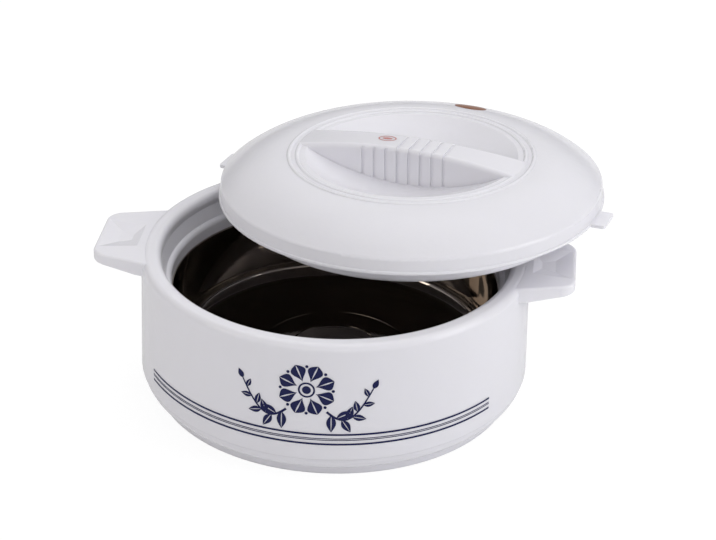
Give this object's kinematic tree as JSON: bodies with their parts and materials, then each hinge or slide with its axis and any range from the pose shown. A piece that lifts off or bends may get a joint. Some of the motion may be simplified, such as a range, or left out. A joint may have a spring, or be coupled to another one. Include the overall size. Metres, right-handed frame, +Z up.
{
  "type": "insulated chapati casserole",
  "caption": "Double-walled round serving casserole with a pressed steel bowl, two flat side handles and a lift-off domed lid with a ribbed grip.",
  "frame": {"origin": "centre of the foot ring's resting plane, on the pot's axis", "axes": "+X along the two handles towards the right-hand one seen from the decorated front, -Y towards the decorated front, +Z up along the pot's axis"},
  "size_m": [0.3195, 0.295, 0.1442],
  "materials": {
    "white_plastic": "glossy injection-moulded polypropylene",
    "steel": "mirror-polished pressed stainless steel",
    "foam": "poured insulation foam, hidden"
  },
  "bodies": {
    "pot": {"outer_shell": "white_plastic", "rim_collar": "white_plastic", "steel_bowl": "steel", "body_foam": "foam", "base_cover": "white_plastic", "base_plug": "white_plastic"},
    "lid": {"lid_cover": "white_plastic", "lid_liner": "white_plastic", "lid_foam": "foam", "lid_plug": "white_plastic"}
  },
  "joints": [
    {"name": "lid_lift", "type": "slide", "parent": "pot", "child": "lid", "axis": [0, 0, 1], "range_m": [0, 0.12]}
  ]
}
